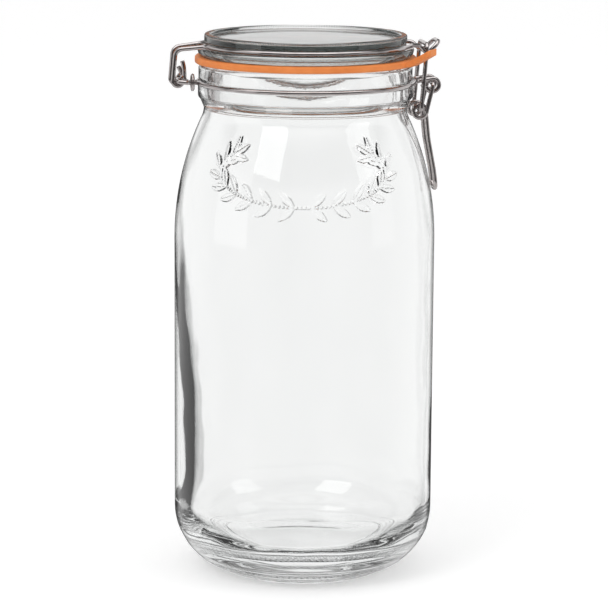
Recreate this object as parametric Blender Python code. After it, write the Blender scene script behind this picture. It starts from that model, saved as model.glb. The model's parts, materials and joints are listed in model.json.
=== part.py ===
"""A closed wire-bail canning jar: glass body and lid, rubber seal, bail, neck wires and lever latch.

Lengths are in metres and Z is up. The origin is on the jar's axis, in the plane that the jar stands
on. The hinge is on the -X side and the latch on the +X side.
"""

import math

import bmesh
import bpy
from mathutils import Quaternion, Vector

# Fineness of round shapes
SEGMENTS = 48
FACET = math.tau / SEGMENTS
ARC_STEP = math.radians(15)
ROUND_STEP = math.radians(30)
BEND_STEP = math.radians(26)
SHARP_ANGLE = math.radians(40)
WELD_DISTANCE = 1e-6

# Play between pieces that touch or run on each other
CLEARANCE = 0.0003

# Spring wire of the bail, the neck wires and the latch
WIRE_RADIUS = 0.00115
TIGHT_BEND = 0.0016

# Jar mouth and rim
JAR_HEIGHT = 0.2710
MOUTH_RADIUS = 0.0480
MOUTH_DEPTH = 0.0190
MOUTH_ROUND = 0.0010
RIM_WIDTH = 0.0083
RIM_ROUND = 0.0016

# Jar neck: the groove for the wires, the bead under it and the waist
GROOVE_DROP = 0.0097
BEAD_OVERHANG = 0.0003
BEAD_DROP = 0.0185
BEAD_ROUND = 0.0022
WAIST_INSET = 0.0028
WAIST_DROP = 0.0230
WAIST_CURVE = 0.0120

# Jar shoulder, barrel and base
BARREL_RADIUS = 0.0690
WALL = 0.0038
SHOULDER_CURVE = 0.1500
HEEL_CURVE = 0.0335
FOOT_RADIUS = 0.0450
FOOT_WIDTH = 0.0045
FOOT_ROUND = 0.0012
PUNT_RISE = 0.0050
FLOOR_RADIUS = 0.0460
FLOOR_HEIGHT = 0.0155
FLOOR_CROWN = 0.0015
INNER_HEEL_RISE = 0.0245

# Rubber seal and its pull tab
SEAL_OVERHANG = 0.0020
SEAL_HOLE_MARGIN = 0.0003
SEAL_THICKNESS = 0.0036
SEAL_CHAMFER = 0.0005
TAB_DIRECTION = math.radians(-30)
TAB_WIDTH = 0.0130
TAB_LENGTH = 0.0130
TAB_RISE = 0.0066
TAB_THICKNESS = 0.0035

# Glass lid: flange on the seal, neck for the bail, stacking ring, sunk disc and locating lip
LID_HEIGHT = 0.0113
LID_CHAMFER = 0.0004
FLANGE_OVERHANG = 0.0007
FLANGE_TAPER = 0.0008
FLANGE_HEIGHT = 0.0043
FLANGE_ROUND = 0.0010
LID_NECK_INSET = 0.0042
RING_PROUD = 0.0005
RING_HEIGHT = 0.0039
RING_WIDTH = 0.0030
RING_ROUND = 0.0009
RECESS_DEPTH = 0.0020
DISC_THICKNESS = 0.0055
LIP_PLAY = 0.0004
LIP_DEPTH = 0.0048
LIP_WIDTH = 0.0021
LIP_FILLET = 0.0015

# Hinge: the bar that the neck wires form, the bail's hooks, the twisted tail and the collar
HINGE_REACH = 0.0115
HINGE_RISE = 0.0015
HINGE_HALF_WIDTH = 0.0106
HINGE_SIDE_DEPTH = 0.0048
HINGE_SIDE_DROP = 0.0006
HOOK_HALF_SPAN = 0.0070
HOOK_WRAP = math.radians(240)
ARM_SPREAD_REACH = 0.0053
TAIL_INSET = 0.0039
TAIL_LENGTH = 0.0082
TAIL_STEP = 0.0030
TAIL_LEAD = 0.0300
TAIL_LEAN = 0.0024
COLLAR_WIRE_RADIUS = 0.0009
COLLAR_REACH = 0.0031

# Bail: legs behind the lid and circle round its neck
LEG_LEAN = 0.0014
LEG_TOP_DROP = 0.0018
LEG_BEND = 0.0042
ENTRY_ANGLE = math.radians(162)
ENTRY_HALF_SPAN = 0.0110
ENTRY_BEND = 0.0050
EXIT_ANGLE = math.radians(24)
EXIT_HALF_SPAN = 0.0120
EXIT_BEND = 0.0040

# Bail: tongue, with a trough under the link's bar and a raised tip
TONGUE_HALF_WIDTH = 0.0080
TONGUE_FLARE = 0.0014
TROUGH_REACH = 0.0053
TROUGH_BEND = 0.0030
TIP_REACH = 0.0062
TIP_RISE = 0.0017
TIP_BEND = 0.0042

# Pivot of the latch lever and the neck wires' eyes round it
PIVOT_REACH = 0.0103
PIVOT_DROP = 0.0009
PIN_OVERHANG = 0.0020
EYE_RADIUS = 0.0036
EYE_WRAP = math.radians(255)
NECK_EXIT_ANGLE = math.radians(18)
NECK_EXIT_BEND = 0.0040
NECK_ENTRY_ANGLE = math.radians(168)

# Latch lever: coils that carry the link, and the handle along the shoulder
COIL_INSET = 0.0069
COIL_DROP = 0.0146
COIL_RADIUS = 0.00345
HANDLE_LENGTH = 0.0418
UPPER_KNEE_DROP = 0.0148
UPPER_KNEE_STANDOFF = 0.0054
LOWER_KNEE_DROP = 0.0318
LOWER_KNEE_STANDOFF = 0.0035
HANDLE_TIP_STANDOFF = 0.0027
KNEE_BEND = 0.0250
HANDLE_TIP_BEND = 0.0048
LEVER_TRAVEL = math.radians(120)

# Link from the lever's coils over the tongue
LINK_LENGTH = 0.0349
LINK_TILT = math.radians(4.8)
LINK_SIDE_PLAY = 0.0006
LINK_BEND = 0.0026
LINK_TURN_RATIO = -0.6

# Rows of the pull tab, as shares of its length, its rise and its width
TAB_ROW_SHARES = ((0.2, 0.1, 1.0), (0.45, 0.38, 1.0), (0.92, 0.92, 0.96), (1.0, 1.0, 0.8))

# Points across a shallow glass dome, as shares of its radius
DOME_SHARES = (0.2, 0.4, 0.6, 0.8)

# Glass jar, worked out
RIM_RADIUS = MOUTH_RADIUS + RIM_WIDTH
BEAD_RADIUS = RIM_RADIUS + BEAD_OVERHANG
WAIST_RADIUS = RIM_RADIUS - WAIST_INSET
WAIST_HEIGHT = JAR_HEIGHT - WAIST_DROP
NECK_WIRE_HEIGHT = JAR_HEIGHT - GROOVE_DROP
WAIST_CENTRE = WAIST_RADIUS + WAIST_CURVE
SHOULDER_CENTRE = BARREL_RADIUS - SHOULDER_CURVE
SHOULDER_SPAN = SHOULDER_CURVE + WAIST_CURVE
SHOULDER_TURN = math.acos((WAIST_CENTRE - SHOULDER_CENTRE) / SHOULDER_SPAN)
SHOULDER_HEIGHT = WAIST_HEIGHT - SHOULDER_SPAN * math.sin(SHOULDER_TURN)
HEEL_CENTRE = BARREL_RADIUS - HEEL_CURVE
HEEL_TURN = math.acos((FOOT_RADIUS - HEEL_CENTRE) / HEEL_CURVE)
HEEL_HEIGHT = FOOT_ROUND + HEEL_CURVE * math.sin(HEEL_TURN)

# Seal and lid, worked out
SEAL_RADIUS = RIM_RADIUS + SEAL_OVERHANG
SEAL_HOLE_RADIUS = MOUTH_RADIUS + SEAL_HOLE_MARGIN
SEAL_BOTTOM = JAR_HEIGHT + CLEARANCE
SEAL_TOP = SEAL_BOTTOM + SEAL_THICKNESS
LID_BOTTOM = SEAL_TOP + CLEARANCE
LID_TOP = LID_BOTTOM + LID_HEIGHT
FLANGE_RADIUS = RIM_RADIUS + FLANGE_OVERHANG
FLANGE_TOP = LID_BOTTOM + FLANGE_HEIGHT
LID_NECK_RADIUS = FLANGE_RADIUS - LID_NECK_INSET
RING_RADIUS = LID_NECK_RADIUS + RING_PROUD

# Wires round the jar and the lid, worked out
WIRE_SEAT = WIRE_RADIUS + CLEARANCE
WIRE_PITCH = WIRE_RADIUS + WIRE_SEAT
NECK_RING_RADIUS = BEAD_RADIUS
BAIL_RING_RADIUS = LID_NECK_RADIUS + WIRE_SEAT
BAIL_HEIGHT = FLANGE_TOP + WIRE_SEAT
HINGE = Vector((-NECK_RING_RADIUS - HINGE_REACH, 0, NECK_WIRE_HEIGHT + HINGE_RISE))

# Places across the latch and the hinge, worked out from wires that lie side by side
LINK_HALF_WIDTH = TONGUE_HALF_WIDTH + WIRE_PITCH + LINK_SIDE_PLAY
LEVER_HALF_WIDTH = LINK_HALF_WIDTH - WIRE_PITCH
HANDLE_HALF_WIDTH = LEVER_HALF_WIDTH - WIRE_PITCH
PIN_END = HANDLE_HALF_WIDTH - PIN_OVERHANG
PAIR_HALF_SPAN = WIRE_SEAT

# Places of the latch, worked out
PIVOT = Vector((NECK_RING_RADIUS + PIVOT_REACH, 0, NECK_WIRE_HEIGHT - PIVOT_DROP))
EYE_CENTRE = PIVOT - Vector((0, 0, EYE_RADIUS - WIRE_PITCH))
COIL_CENTRE = PIVOT - Vector((COIL_INSET, 0, COIL_DROP))
LINK_PIVOT = COIL_CENTRE + Vector((0, 0, COIL_RADIUS - WIRE_PITCH))
LINK_RISE = Vector((math.sin(LINK_TILT), 0, math.cos(LINK_TILT))) * LINK_LENGTH


def clear_scene():
    for thing in list(bpy.data.objects):
        bpy.data.objects.remove(thing)


def material(name, colour, roughness, metallic=0, transmission=0):
    made = bpy.data.materials.new(name)
    made.use_nodes = True
    shader = made.node_tree.nodes["Principled BSDF"]
    shader.inputs["Base Color"].default_value = (*colour, 1)
    shader.inputs["Roughness"].default_value = roughness
    shader.inputs["Metallic"].default_value = metallic
    shader.inputs["Transmission Weight"].default_value = transmission
    return made


def clear_glass(name):
    return material(name, (0.90, 0.95, 0.94), 0.03, transmission=1)


def orange_rubber(name):
    return material(name, (0.86, 0.26, 0.05), 0.55)


def steel_wire(name):
    return material(name, (0.42, 0.36, 0.35), 0.25, metallic=1)


def pivot_empty(name, place):
    empty = bpy.data.objects.new(name, None)
    bpy.context.scene.collection.objects.link(empty)
    empty.location = place
    return empty


def placed(name, data, finish, origin, parent):
    """An object whose origin is on the axis that it turns about, on a parent that stands by itself."""
    data.materials.append(finish)
    piece = bpy.data.objects.new(name, data)
    bpy.context.scene.collection.objects.link(piece)
    piece.parent = parent
    piece.location = origin - parent.location if parent else origin
    return piece


def arc(centre, height, radius, start, end, step=ARC_STEP):
    """Points of an arc in an outline, from one angle to another, both ends included."""
    count = max(2, round(abs(end - start) / step))
    angles = [start + (end - start) * index / count for index in range(count + 1)]
    return [(centre + radius * math.cos(a), height + radius * math.sin(a)) for a in angles]


def dome(radius, base, rise):
    """Points of a shallow dome in an outline, from the axis out to its level foot."""
    points = [(radius * s, base + rise * (1 + math.cos(math.pi * s)) / 2) for s in DOME_SHARES]
    return [(0, base + rise)] + points + [(radius, base)]


def spun_mesh(outline):
    """A mesh turned from an outline of (radius, height) points."""
    mesh = bmesh.new()
    points = [mesh.verts.new((radius, 0, height)) for radius, height in outline]
    edges = [mesh.edges.new(pair) for pair in zip(points, points[1:])]
    if outline[0][0] > 0:
        edges.append(mesh.edges.new((points[-1], points[0])))
    bmesh.ops.spin(
        mesh,
        geom=points + edges,
        cent=(0, 0, 0),
        axis=(0, 0, 1),
        angle=math.tau,
        steps=SEGMENTS,
        use_merge=True,
    )
    bmesh.ops.remove_doubles(mesh, verts=mesh.verts, dist=WELD_DISTANCE)
    bmesh.ops.recalc_face_normals(mesh, faces=mesh.faces)
    return mesh


def mesh_piece(name, mesh, finish, origin, parent=None):
    """A smooth-shaded object from a mesh that was made in world space."""
    bmesh.ops.translate(mesh, verts=mesh.verts, vec=-origin)
    data = bpy.data.meshes.new(name)
    mesh.to_mesh(data)
    mesh.free()
    data.shade_smooth()
    data.set_sharp_from_angle(angle=SHARP_ANGLE)
    return placed(name, data, finish, origin, parent)


def outer_jar():
    """The jar's outer outline, from the middle of the base up to the mouth."""
    outline = dome(FOOT_RADIUS - FOOT_WIDTH, 0, PUNT_RISE)
    outline += [(FOOT_RADIUS - FOOT_ROUND, 0)]
    outline += arc(HEEL_CENTRE, HEEL_HEIGHT, HEEL_CURVE, -HEEL_TURN, 0)
    outline += arc(SHOULDER_CENTRE, SHOULDER_HEIGHT, SHOULDER_CURVE, 0, SHOULDER_TURN, SHOULDER_TURN / 4)
    outline += arc(WAIST_CENTRE, WAIST_HEIGHT, WAIST_CURVE, math.pi + SHOULDER_TURN, math.pi)[1:]
    bead_height = JAR_HEIGHT - BEAD_DROP + BEAD_ROUND
    outline += arc(BEAD_RADIUS - BEAD_ROUND, bead_height, BEAD_ROUND, -math.pi / 3, 0, ROUND_STEP)
    groove_end = math.acos((RIM_RADIUS - BEAD_RADIUS) / WIRE_SEAT)
    outline += arc(
        BEAD_RADIUS, NECK_WIRE_HEIGHT, WIRE_SEAT, math.pi * 3 / 2, groove_end, ROUND_STEP
    )
    rim_height = JAR_HEIGHT - RIM_ROUND
    return outline + arc(RIM_RADIUS - RIM_ROUND, rim_height, RIM_ROUND, 0, math.pi / 2, ROUND_STEP)


def inner_jar():
    """The jar's inner outline, from the mouth down to the middle of the floor."""
    round_height = JAR_HEIGHT - MOUTH_ROUND
    round_centre = MOUTH_RADIUS + MOUTH_ROUND
    outline = arc(round_centre, round_height, MOUTH_ROUND, math.pi / 2, math.pi, ROUND_STEP)
    outline += [(MOUTH_RADIUS, JAR_HEIGHT - MOUTH_DEPTH)]
    neck_curve = WAIST_CURVE + WALL
    outline += arc(WAIST_CENTRE, WAIST_HEIGHT, neck_curve, math.pi, math.pi + SHOULDER_TURN)
    inner_curve = SHOULDER_CURVE - WALL
    outline += arc(SHOULDER_CENTRE, SHOULDER_HEIGHT, inner_curve, SHOULDER_TURN, 0)[1:]
    heel_depth = BARREL_RADIUS - WALL - FLOOR_RADIUS
    for across, up in arc(0, 0, 1, 0, math.pi / 2):
        height = FLOOR_HEIGHT + INNER_HEEL_RISE * (1 - up)
        outline.append((FLOOR_RADIUS + heel_depth * across, height))
    return outline + dome(FLOOR_RADIUS, FLOOR_HEIGHT, FLOOR_CROWN)[-2::-1]


def lid_outline():
    """The lid's outline, from the middle of its top round to the middle of its underside."""
    ring_inner = RING_RADIUS - RING_WIDTH
    disc_top = LID_TOP - RECESS_DEPTH
    outline = [(0, disc_top), (ring_inner - RING_ROUND, disc_top)]
    outline += [(ring_inner, disc_top + RING_ROUND), (ring_inner, LID_TOP)]
    outline += arc(
        RING_RADIUS - RING_ROUND, LID_TOP - RING_ROUND, RING_ROUND, math.pi / 2, 0, ROUND_STEP
    )
    ring_bottom = LID_TOP - RING_HEIGHT
    outline += [(RING_RADIUS, ring_bottom), (LID_NECK_RADIUS, ring_bottom - RING_PROUD)]
    outline += [(LID_NECK_RADIUS, FLANGE_TOP)]
    outline += arc(
        FLANGE_RADIUS - FLANGE_ROUND, FLANGE_TOP - FLANGE_ROUND, FLANGE_ROUND, math.pi / 2, 0, ROUND_STEP
    )
    flange_foot = FLANGE_RADIUS - FLANGE_TAPER
    outline += [(flange_foot, LID_BOTTOM + LID_CHAMFER), (flange_foot - LID_CHAMFER, LID_BOTTOM)]
    lip_radius = MOUTH_RADIUS - LIP_PLAY
    lip_bottom = LID_BOTTOM - LIP_DEPTH
    lip_inner = lip_radius - LIP_WIDTH
    disc_bottom = disc_top - DISC_THICKNESS
    outline += [(lip_radius, LID_BOTTOM), (lip_radius, lip_bottom + LID_CHAMFER)]
    outline += [(lip_radius - LID_CHAMFER, lip_bottom), (lip_inner, lip_bottom)]
    outline += [(lip_inner, disc_bottom - LIP_FILLET), (lip_inner - LIP_FILLET, disc_bottom)]
    return outline + [(0, disc_bottom)]


def seal_outline():
    inner = SEAL_HOLE_RADIUS
    outer = SEAL_RADIUS
    low = SEAL_BOTTOM + SEAL_CHAMFER
    high = SEAL_TOP - SEAL_CHAMFER
    outline = [(inner + SEAL_CHAMFER, SEAL_BOTTOM), (outer - SEAL_CHAMFER, SEAL_BOTTOM)]
    outline += [(outer, low), (outer, high)]
    outline += [(outer - SEAL_CHAMFER, SEAL_TOP), (inner + SEAL_CHAMFER, SEAL_TOP)]
    return outline + [(inner, high), (inner, low)]


def draw_tab(mesh):
    """Draws the pull tab out of the seal's rim, row by row, from the facets next to its direction."""
    direction = round(TAB_DIRECTION / FACET) * FACET
    outward = Vector((math.cos(direction), math.sin(direction), 0))
    across = Vector((-outward.y, outward.x, 0))
    facets_each_side = max(1, round(TAB_WIDTH / 2 / (SEAL_RADIUS * FACET)))
    least = math.cos(facets_each_side * FACET)
    rim = [face for face in mesh.faces if outward.dot(face.calc_center_median()) > 0]
    faces = [face for face in rim if outward.dot(face.normal) > least]
    for length_share, rise_share, width_share in TAB_ROW_SHARES:
        made = bmesh.ops.extrude_face_region(mesh, geom=faces)["geom"]
        bmesh.ops.delete(mesh, geom=faces, context="FACES_ONLY")
        faces = [item for item in made if isinstance(item, bmesh.types.BMFace)]
        points = [item for item in made if isinstance(item, bmesh.types.BMVert)]
        widest = max(across.dot(point.co) for point in points)
        middle = sum(point.co.z for point in points) / len(points)
        centre = outward * (SEAL_RADIUS + TAB_LENGTH * length_share)
        centre.z = (SEAL_BOTTOM + SEAL_TOP) / 2 + TAB_RISE * rise_share
        for point in points:
            side = across.dot(point.co) / widest * width_share * TAB_WIDTH / 2
            half_thickness = math.copysign(TAB_THICKNESS / 2, point.co.z - middle)
            point.co = centre + across * side + Vector((0, 0, half_thickness))


def seal_mesh():
    mesh = spun_mesh(seal_outline())
    draw_tab(mesh)
    bmesh.ops.recalc_face_normals(mesh, faces=mesh.faces)
    return mesh


def bent(corners):
    """Points along a wire, from its corners, each a place and the radius that it is bent to."""
    points = [corners[0][0]]
    for (before, bend_before), (corner, bend), (after, bend_after) in zip(
        corners, corners[1:], corners[2:]
    ):
        arriving = corner - before
        leaving = after - corner
        turn = arriving.angle(leaving)
        if not bend or turn < FACET / 2:
            points.append(corner)
            continue
        room_before = arriving.length / (2 if bend_before else 1)
        room_after = leaving.length / (2 if bend_after else 1)
        reach = min(bend * math.tan(turn / 2), room_before, room_after)
        axis = arriving.cross(leaving).normalized()
        start = corner - arriving.normalized() * reach
        centre = start + axis.cross(arriving).normalized() * reach / math.tan(turn / 2)
        steps = math.ceil(turn / BEND_STEP)
        turns = [Quaternion(axis, turn * step / steps) for step in range(steps + 1)]
        points += [centre + spin @ (start - centre) for spin in turns]
    return points + [corners[-1][0]]


def wire(name, points, finish, origin, parent=None, radius=WIRE_RADIUS, closed=False):
    """A round wire along points in world space."""
    curve = bpy.data.curves.new(name, "CURVE")
    curve.dimensions = "3D"
    curve.bevel_depth = radius
    curve.bevel_resolution = 2
    curve.use_fill_caps = True
    spline = curve.splines.new("POLY")
    spline.points.add(len(points) - 1)
    for target, place in zip(spline.points, points):
        target.co = (*(place - origin), 1)
    spline.use_cyclic_u = closed
    return placed(name, curve, finish, origin, parent)


def at_side(place, side):
    return Vector((place.x, side, place.z))


def mirrored(corners):
    return [(at_side(place, -place.y), bend) for place, bend in corners]


def both_sides(corners):
    """Corners of one half of a wire, and then those of its mirror image, run backwards."""
    return corners + mirrored(corners)[::-1]


def loop(centre, radius, start, sweep, side, end_side):
    """Corners of a loop bent round an axis along Y, which may drift sideways along that axis."""
    count = math.ceil(abs(sweep) / BEND_STEP)
    corners = []
    for index in range(count + 1):
        share = index / count
        angle = start + sweep * share
        offset = Vector((radius * math.cos(angle), 0, radius * math.sin(angle)))
        corners.append((at_side(centre + offset, side + (end_side - side) * share), 0))
    return corners


def ring(radius, height, start, end):
    """Corners of a wire round the glass, at its facets' corners, from a large angle to a small one."""
    indices = range(round(start / FACET), round(end / FACET) - 1, -1)
    angles = [index * FACET for index in indices]
    return [(Vector((radius * math.cos(a), radius * math.sin(a), height)), 0) for a in angles]


def off_ring(radius, height, angle, side):
    """Where a straight wire that leaves such a ring at an angle comes within a distance of the XZ plane."""
    angle = round(angle / FACET) * FACET
    run = (radius * math.sin(angle) - side) / math.cos(angle)
    return Vector((radius * math.cos(angle) + run * math.sin(angle), side, height))


def bar_place(turn):
    """Where the link's top bar is when the lever has turned by an angle and the link by its share of it."""
    lever = Quaternion((0, -1, 0), turn)
    link = Quaternion((0, -1, 0), turn * (1 + LINK_TURN_RATIO))
    return PIVOT + lever @ (LINK_PIVOT - PIVOT) + link @ LINK_RISE


def lowest_bar():
    """The lowest place that the link's top bar comes to while the lever swings."""
    places = [bar_place(LEVER_TRAVEL * index / SEGMENTS) for index in range(SEGMENTS + 1)]
    return min(places, key=lambda place: place.z)


def tongue():
    """Corners of one side of the bail's tongue. Its trough leaves room for the bar at its lowest."""
    bar = lowest_bar()
    shoulder = Vector((bar.x - TROUGH_REACH, 0, BAIL_HEIGHT))
    trough = Vector((bar.x, 0, bar.z - WIRE_PITCH))
    tip = Vector((bar.x + TIP_REACH, 0, BAIL_HEIGHT + TIP_RISE))
    turn = (trough - shoulder).angle(tip - trough)
    trough.z -= TROUGH_BEND * (1 / math.cos(turn / 2) - 1)
    return [
        (at_side(shoulder, TONGUE_HALF_WIDTH + TONGUE_FLARE), TROUGH_BEND),
        (at_side(trough, TONGUE_HALF_WIDTH), TROUGH_BEND),
        (at_side(tip, TONGUE_HALF_WIDTH), TIP_BEND),
    ]


def bail_points():
    """The bail: a hook round the hinge bar, a leg, half the circle, the tongue, and their mirror image."""
    side = HOOK_HALF_SPAN
    corners = loop(HINGE, WIRE_PITCH, HOOK_WRAP - math.pi, -HOOK_WRAP, side, side)
    leg_top = Vector((HINGE.x - WIRE_PITCH + LEG_LEAN, side, BAIL_HEIGHT - LEG_TOP_DROP))
    entry = off_ring(BAIL_RING_RADIUS, BAIL_HEIGHT, ENTRY_ANGLE, ENTRY_HALF_SPAN)
    leaving = off_ring(BAIL_RING_RADIUS, BAIL_HEIGHT, EXIT_ANGLE, EXIT_HALF_SPAN)
    corners += [(leg_top, LEG_BEND), (entry, ENTRY_BEND)]
    corners += ring(BAIL_RING_RADIUS, BAIL_HEIGHT, ENTRY_ANGLE, EXIT_ANGLE)
    corners += [(leaving, EXIT_BEND)] + tongue()
    return bent(both_sides(corners))


def tail(side):
    """Corners of one strand of the twisted tail, from its tip down. The rear strand is cut shorter."""
    length = TAIL_LENGTH - (TAIL_STEP if side > 0 else 0)
    count = math.ceil(math.tau * length / TAIL_LEAD / BEND_STEP)
    base = HINGE + Vector((TAIL_INSET, 0, TIGHT_BEND))
    corners = []
    for index in range(count, 0, -1):
        rise = length * index / count
        angle = math.pi / 2 * side + math.tau * rise / TAIL_LEAD
        strand = Vector((math.cos(angle), math.sin(angle), 0)) * PAIR_HALF_SPAN
        lean = Vector((-TAIL_LEAN * rise / TAIL_LENGTH, 0, rise))
        corners.append((base + strand + lean, 0))
    return corners


def neck_wire_points(side):
    """Half of the neck's wiring, at the rear for side 1 and in front for -1, from its tail to its eye."""
    arm_end = Vector((-NECK_RING_RADIUS - ARM_SPREAD_REACH, PAIR_HALF_SPAN, NECK_WIRE_HEIGHT))
    bar_end = at_side(HINGE, HINGE_HALF_WIDTH)
    corners = [
        (at_side(HINGE + Vector((TAIL_INSET, 0, 0)), PAIR_HALF_SPAN), TIGHT_BEND),
        (at_side(HINGE, PAIR_HALF_SPAN), TIGHT_BEND),
        (bar_end, TIGHT_BEND),
        (bar_end + Vector((HINGE_SIDE_DEPTH, 0, -HINGE_SIDE_DROP)), TIGHT_BEND),
        (arm_end, TIGHT_BEND),
        (off_ring(NECK_RING_RADIUS, NECK_WIRE_HEIGHT, NECK_ENTRY_ANGLE, PAIR_HALF_SPAN), TIGHT_BEND),
    ]
    corners += ring(NECK_RING_RADIUS, NECK_WIRE_HEIGHT, NECK_ENTRY_ANGLE, NECK_EXIT_ANGLE)
    leaving = off_ring(NECK_RING_RADIUS, NECK_WIRE_HEIGHT, NECK_EXIT_ANGLE, HANDLE_HALF_WIDTH)
    corners.append((leaving, NECK_EXIT_BEND))
    eye_side = HANDLE_HALF_WIDTH
    corners += loop(EYE_CENTRE, EYE_RADIUS, math.pi / 2, -EYE_WRAP, eye_side, eye_side)
    return bent(tail(side) + (corners if side > 0 else mirrored(corners)))


def collar_points():
    """A round ring, upright across the two arms that run from the neck to the hinge."""
    radius = PAIR_HALF_SPAN + WIRE_RADIUS + CLEARANCE + COLLAR_WIRE_RADIUS
    centre = Vector((-NECK_RING_RADIUS - COLLAR_REACH, 0, NECK_WIRE_HEIGHT))
    count = math.ceil(math.tau / BEND_STEP)
    angles = [math.tau * index / count for index in range(count)]
    return [centre + Vector((0, math.cos(a), math.sin(a))) * radius for a in angles]


def shoulder_place(drop, standoff, side):
    """A place that stands off the jar's shoulder, at a drop below the lever's coils."""
    height = COIL_CENTRE.z - drop
    above = height - SHOULDER_HEIGHT
    shoulder = SHOULDER_CENTRE + math.sqrt(SHOULDER_CURVE**2 - above**2)
    return Vector((shoulder + standoff, side, height))


def lever_points():
    """The lever: a pivot pin, a coil and one side of the handle, and their mirror image."""
    side = HANDLE_HALF_WIDTH
    corners = [(at_side(PIVOT, PIN_END), 0), (at_side(PIVOT, LEVER_HALF_WIDTH), TIGHT_BEND)]
    corners += loop(COIL_CENTRE, COIL_RADIUS, 0, -math.tau, LEVER_HALF_WIDTH, side)
    corners += [
        (shoulder_place(UPPER_KNEE_DROP, UPPER_KNEE_STANDOFF, side), KNEE_BEND),
        (shoulder_place(LOWER_KNEE_DROP, LOWER_KNEE_STANDOFF, side), KNEE_BEND),
        (shoulder_place(HANDLE_LENGTH, HANDLE_TIP_STANDOFF, side), HANDLE_TIP_BEND),
    ]
    return bent(both_sides(corners))


def link_points():
    """The link: a pin, one side and half the top bar, and their mirror image."""
    bar = LINK_PIVOT + LINK_RISE
    corners = [
        (at_side(LINK_PIVOT, PIN_END), 0),
        (at_side(LINK_PIVOT, LINK_HALF_WIDTH), TIGHT_BEND),
        (at_side(bar, LINK_HALF_WIDTH), LINK_BEND),
    ]
    return bent(both_sides(corners))


def build_jar():
    mesh_piece("glass_jar", spun_mesh(outer_jar() + inner_jar()), clear_glass("jar_glass"), Vector())
    wire("neck_wire_front", neck_wire_points(-1), steel_wire("front_wire"), Vector())
    wire("neck_wire_rear", neck_wire_points(1), steel_wire("rear_wire"), Vector())
    wire(
        "hinge_collar",
        collar_points(),
        steel_wire("collar_wire"),
        Vector(),
        radius=COLLAR_WIRE_RADIUS,
        closed=True,
    )


def build_lid():
    hinge = pivot_empty("lid_hinge", HINGE)
    mesh_piece("glass_lid", spun_mesh(lid_outline()), clear_glass("lid_glass"), HINGE, hinge)
    mesh_piece("rubber_seal", seal_mesh(), orange_rubber("seal_rubber"), HINGE, hinge)
    wire("lid_bail", bail_points(), steel_wire("bail_wire"), HINGE, hinge)


def build_latch():
    lever = wire("latch_lever", lever_points(), steel_wire("lever_wire"), PIVOT)
    wire("latch_link", link_points(), steel_wire("link_wire"), LINK_PIVOT, lever)


clear_scene()
build_jar()
build_lid()
build_latch()
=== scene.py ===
"""The looks of a closed wire-bail canning jar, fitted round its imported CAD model.

Lengths are in metres and Z is up. The jar stands on the floor with its axis on Z. The hinge is on the
-X side and the latch on the +X side, and the camera looks from the -Y side.
"""

import json
import math

import bpy
from mathutils import Matrix, Quaternion, Vector


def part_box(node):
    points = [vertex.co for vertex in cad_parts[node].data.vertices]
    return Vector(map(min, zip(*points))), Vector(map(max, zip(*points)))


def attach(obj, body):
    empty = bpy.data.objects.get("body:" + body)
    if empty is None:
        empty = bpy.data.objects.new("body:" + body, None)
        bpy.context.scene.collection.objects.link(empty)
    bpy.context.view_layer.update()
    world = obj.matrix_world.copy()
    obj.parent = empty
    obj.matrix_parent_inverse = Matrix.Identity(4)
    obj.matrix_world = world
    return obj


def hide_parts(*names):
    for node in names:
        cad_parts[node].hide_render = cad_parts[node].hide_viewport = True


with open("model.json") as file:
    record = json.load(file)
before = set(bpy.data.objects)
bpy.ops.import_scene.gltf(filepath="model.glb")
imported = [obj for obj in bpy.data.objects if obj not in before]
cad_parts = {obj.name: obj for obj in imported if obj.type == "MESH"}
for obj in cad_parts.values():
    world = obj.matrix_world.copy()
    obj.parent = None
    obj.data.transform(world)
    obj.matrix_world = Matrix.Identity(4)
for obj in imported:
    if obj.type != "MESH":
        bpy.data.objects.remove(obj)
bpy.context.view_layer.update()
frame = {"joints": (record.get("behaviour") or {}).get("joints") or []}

# Driving places, read from the frame
JAR_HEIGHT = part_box("glass_jar")[1].z
BARREL_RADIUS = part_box("glass_jar")[1].x
SEAL_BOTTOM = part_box("rubber_seal")[0].z
SEAL_RADIUS = -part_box("rubber_seal")[0].x
LID_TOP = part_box("glass_lid")[1].z
FLANGE_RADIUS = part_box("glass_lid")[1].x
HINGE, PIVOT, LINK_PIVOT = (Vector(joint["pos_m"]) for joint in frame["joints"])

# Fineness of round shapes
JAR_COLUMNS = 240
TOOTH_COUNT = 228
SEAL_COLUMNS = 192
RING_STEP = math.radians(2.5)
ARC_STEP = math.radians(5)
ROUND_STEP = math.radians(15)
BEND_STEP = math.radians(9)
WIRE_SIDES = 6
WELD_DISTANCE = 0.000002
SMOOTH_ANGLE = math.radians(35)

# Play between pieces, and the spring wire
CLEARANCE = 0.0003
WIRE_RADIUS = 0.00115
TIGHT_BEND = 0.0016
WIRE_END_ROUND = 0.0003

# Jar mouth and rim
MOUTH_RADIUS = 0.0480
MOUTH_DEPTH = 0.0190
MOUTH_ROUND = 0.0010
RIM_WIDTH = 0.0083
RIM_ROUND = 0.0026

# Jar neck: the groove for the wires, the bead under it and the waist
GROOVE_DROP = 0.0097
BEAD_OVERHANG = 0.0003
BEAD_DROP = 0.0185
BEAD_ROUND = 0.0022
WAIST_INSET = 0.0028
WAIST_DROP = 0.0230
WAIST_CURVE = 0.0120

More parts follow.
